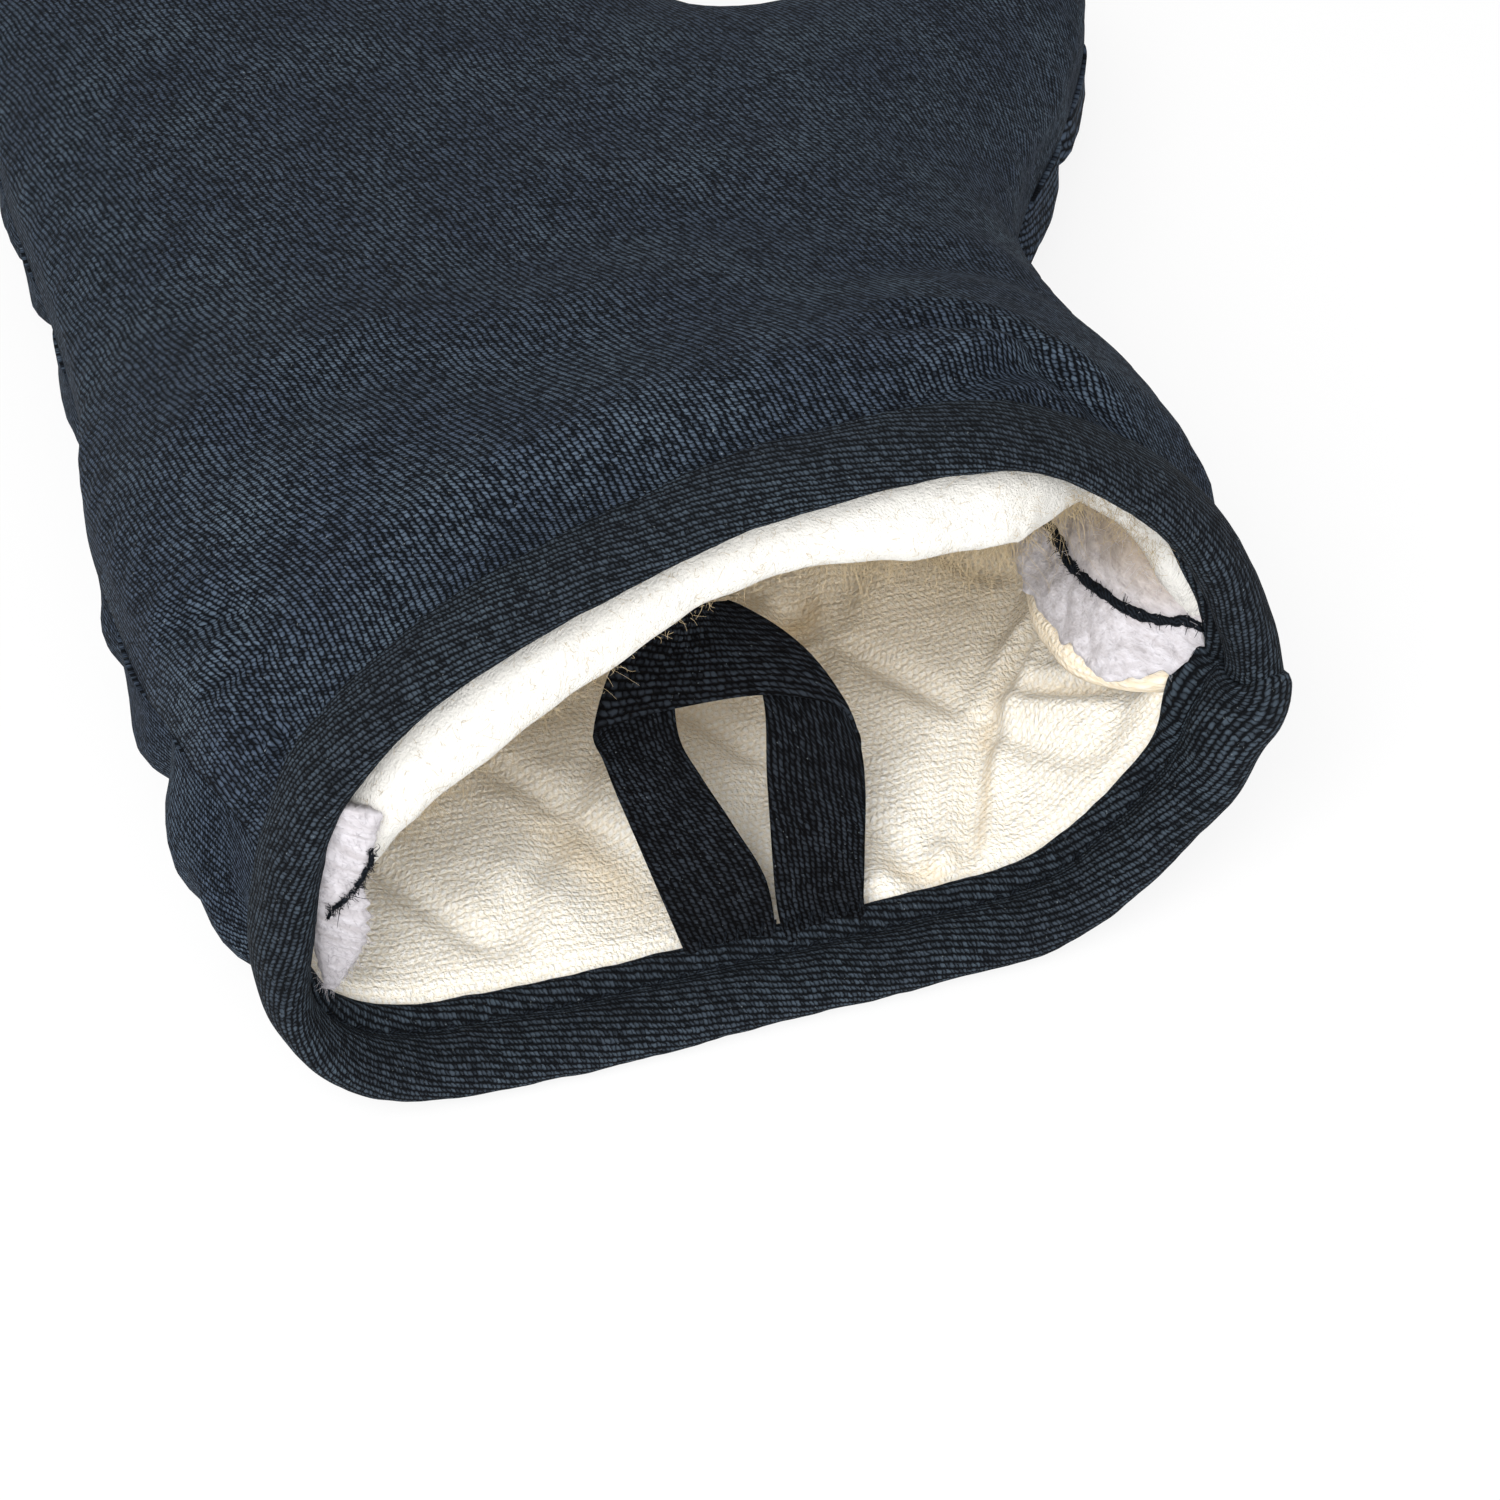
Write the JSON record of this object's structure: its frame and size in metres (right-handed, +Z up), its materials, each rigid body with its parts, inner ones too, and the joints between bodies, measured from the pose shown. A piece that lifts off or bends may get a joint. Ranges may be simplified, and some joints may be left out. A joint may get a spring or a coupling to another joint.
{
  "type": "oven mitt",
  "caption": "Padded oven mitt lying palm down, with a thumb, an open bound cuff, a terry lining and a hanging loop that swings inside the mouth.",
  "frame": {"origin": "on the surface the mitt lies on, under the middle of the palm, 160 mm from the mouth", "axes": "+Z up from the palm, +Y from the mouth towards the finger tips, +X towards the thumb"},
  "size_m": [0.1953, 0.329, 0.0771],
  "materials": {
    "shell_twill": "blue-black cotton twill",
    "binding_twill": "blue-black bias-cut cotton twill",
    "loop_tape": "near-black cotton twill tape",
    "terry": "cream brushed cotton terry",
    "wadding": "white needled cotton wadding",
    "dark_thread": "black spun sewing thread",
    "white_thread": "white spun sewing thread"
  },
  "bodies": {
    "mitt": {"back_shell": "shell_twill", "palm_shell": "shell_twill", "back_batting": "wadding", "palm_batting": "wadding", "back_lining": "terry", "palm_lining": "terry", "cuff_binding": "binding_twill", "binding_stitching": "dark_thread", "perimeter_seam_thread": "dark_thread", "palm_quilting_thread": "white_thread", "thumb_side_seam_edge": "wadding", "little_finger_side_seam_edge": "wadding", "thumb_side_overlock_thread": "dark_thread", "little_finger_side_overlock_thread": "dark_thread", "loop_bar_tack": "dark_thread"},
    "loop": {"hanging_loop": "loop_tape"}
  },
  "joints": [
    {"name": "loop_swing", "type": "hinge", "parent": "mitt", "child": "loop", "pos_m": [0.005, -0.1455, 0.01182], "axis": [1, 0, 0], "range_deg": [-45, 118], "stiffness_Nm_per_rad": 0.006}
  ]
}
